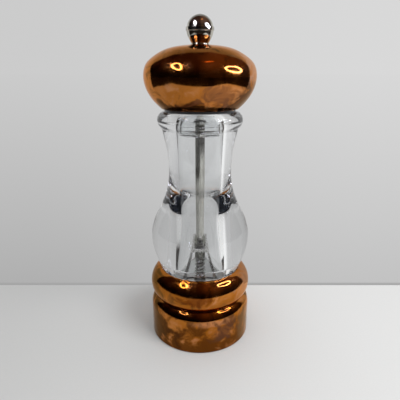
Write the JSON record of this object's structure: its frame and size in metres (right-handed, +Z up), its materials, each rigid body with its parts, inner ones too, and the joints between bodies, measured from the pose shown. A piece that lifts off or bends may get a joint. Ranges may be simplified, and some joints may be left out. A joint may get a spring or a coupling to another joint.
{
  "type": "pepper mill",
  "caption": "Hand-turned pepper mill with a clear waisted body, domed copper head and base, square drive shaft and adjustable burrs.",
  "frame": {"origin": "centre of the underside of the base", "axes": "+Z up along the mill axis, -Y towards the viewer"},
  "size_m": [0.058, 0.058, 0.1778],
  "materials": {
    "copper": "polished spun copper with mottled tarnish",
    "clear_acrylic": "clear polished acrylic",
    "nickel": "polished nickel plate",
    "steel": "drawn bright steel",
    "spring_steel": "spring wire",
    "burr_steel": "hardened burr steel",
    "fastener_steel": "zinc plated screws",
    "brass": "turned brass",
    "core_plastic": "moulded white plastic",
    "core_wood": "turned hardwood",
    "nylon": "natural nylon"
  },
  "bodies": {
    "mill_body": {"acrylic_body": "clear_acrylic", "base_skirt": "copper", "base_collar": "copper", "base_core": "core_plastic", "body_screws": "fastener_steel", "burr_retainer": "steel", "retainer_screws": "fastener_steel", "burr_ring": "burr_steel", "bridge": "steel", "bridge_bush": "brass", "bridge_screws": "fastener_steel", "spring": "spring_steel"},
    "glide_seat": {"glide_ring": "nylon"},
    "head": {"head_shell": "copper", "head_core": "core_wood", "head_screws": "fastener_steel", "head_spigot": "clear_acrylic", "drive_plate": "steel"},
    "knob": {"knob_washer": "nickel", "knob_cup": "nickel", "knob_insert": "brass", "knob_dome": "nickel"},
    "spring_seat": {"spring_washer": "steel"},
    "drive": {"drive_shaft": "steel", "burr_cone": "burr_steel", "burr_washer": "steel", "burr_nut": "fastener_steel"}
  },
  "joints": [
    {"name": "head_lift", "type": "slide", "parent": "mill_body", "child": "glide_seat", "axis": [0, 0, 1], "range_m": [0, 0.055]},
    {"name": "head_turn", "type": "hinge", "parent": "glide_seat", "child": "head", "pos_m": [0, 0, 0.13307], "axis": [0, 0, 1], "continuous": true},
    {"name": "knob_turn", "type": "hinge", "parent": "head", "child": "knob", "pos_m": [0, 0, 0.16397], "axis": [0, 0, 1], "range_deg": [0, 540]},
    {"name": "grind_adjust", "type": "slide", "parent": "mill_body", "child": "spring_seat", "axis": [0, 0, 1], "range_m": [-0.00105, 0], "deforming": ["spring"]},
    {"name": "drive_turn", "type": "hinge", "parent": "spring_seat", "child": "drive", "pos_m": [0, 0, 0.04097], "axis": [0, 0, 1], "continuous": true}
  ],
  "couplings": [
    {"joint": "drive_turn", "follows": "head_turn", "ratio": 1},
    {"joint": "knob_turn", "follows": "grind_adjust", "rad_per_m": -8976}
  ]
}
